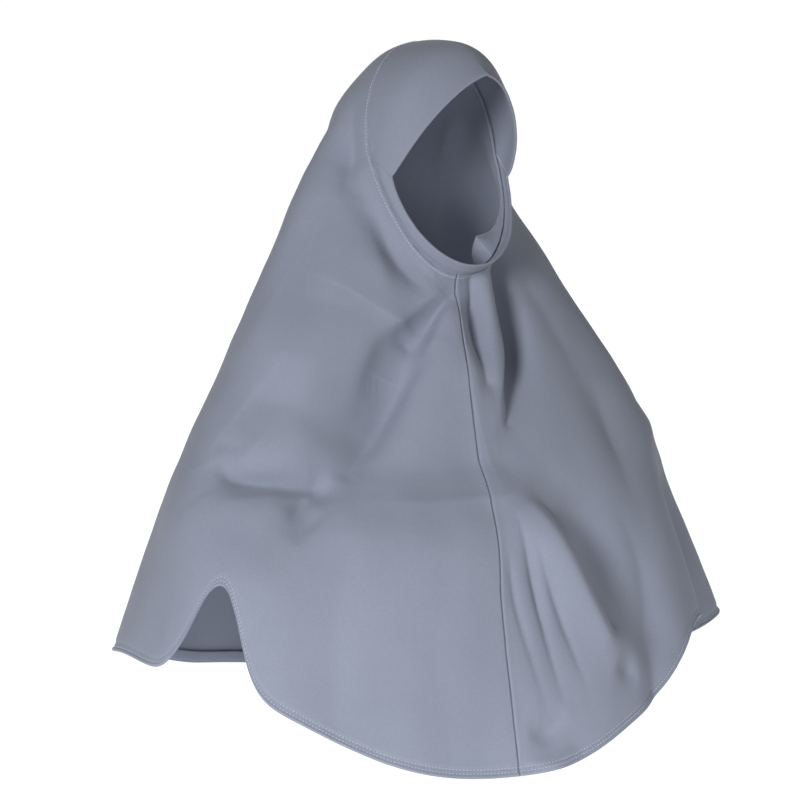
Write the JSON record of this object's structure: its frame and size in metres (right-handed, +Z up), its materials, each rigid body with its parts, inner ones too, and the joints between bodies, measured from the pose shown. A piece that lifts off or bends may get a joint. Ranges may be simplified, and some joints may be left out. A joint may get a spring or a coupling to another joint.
{
  "type": "hijab",
  "caption": "Pull-on hooded cape of smooth knit cloth with a closed chin band, held in its worn form over head, shoulders and bent arms.",
  "frame": {"origin": "inside of the hood's crown, where the top of the head carries it", "axes": "+Z up; the wearer faces -Y, with the right hand towards -X and the head turned a little to the left"},
  "size_m": [0.6736, 0.3781, 0.7023],
  "materials": {
    "cloth": "smooth matte knit, slate grey-blue"
  },
  "bodies": {
    "root": {"cape": "cloth", "bonnet_panel": "cloth", "chin_panel": "cloth", "hem_fold": "cloth"}
  },
  "joints": []
}
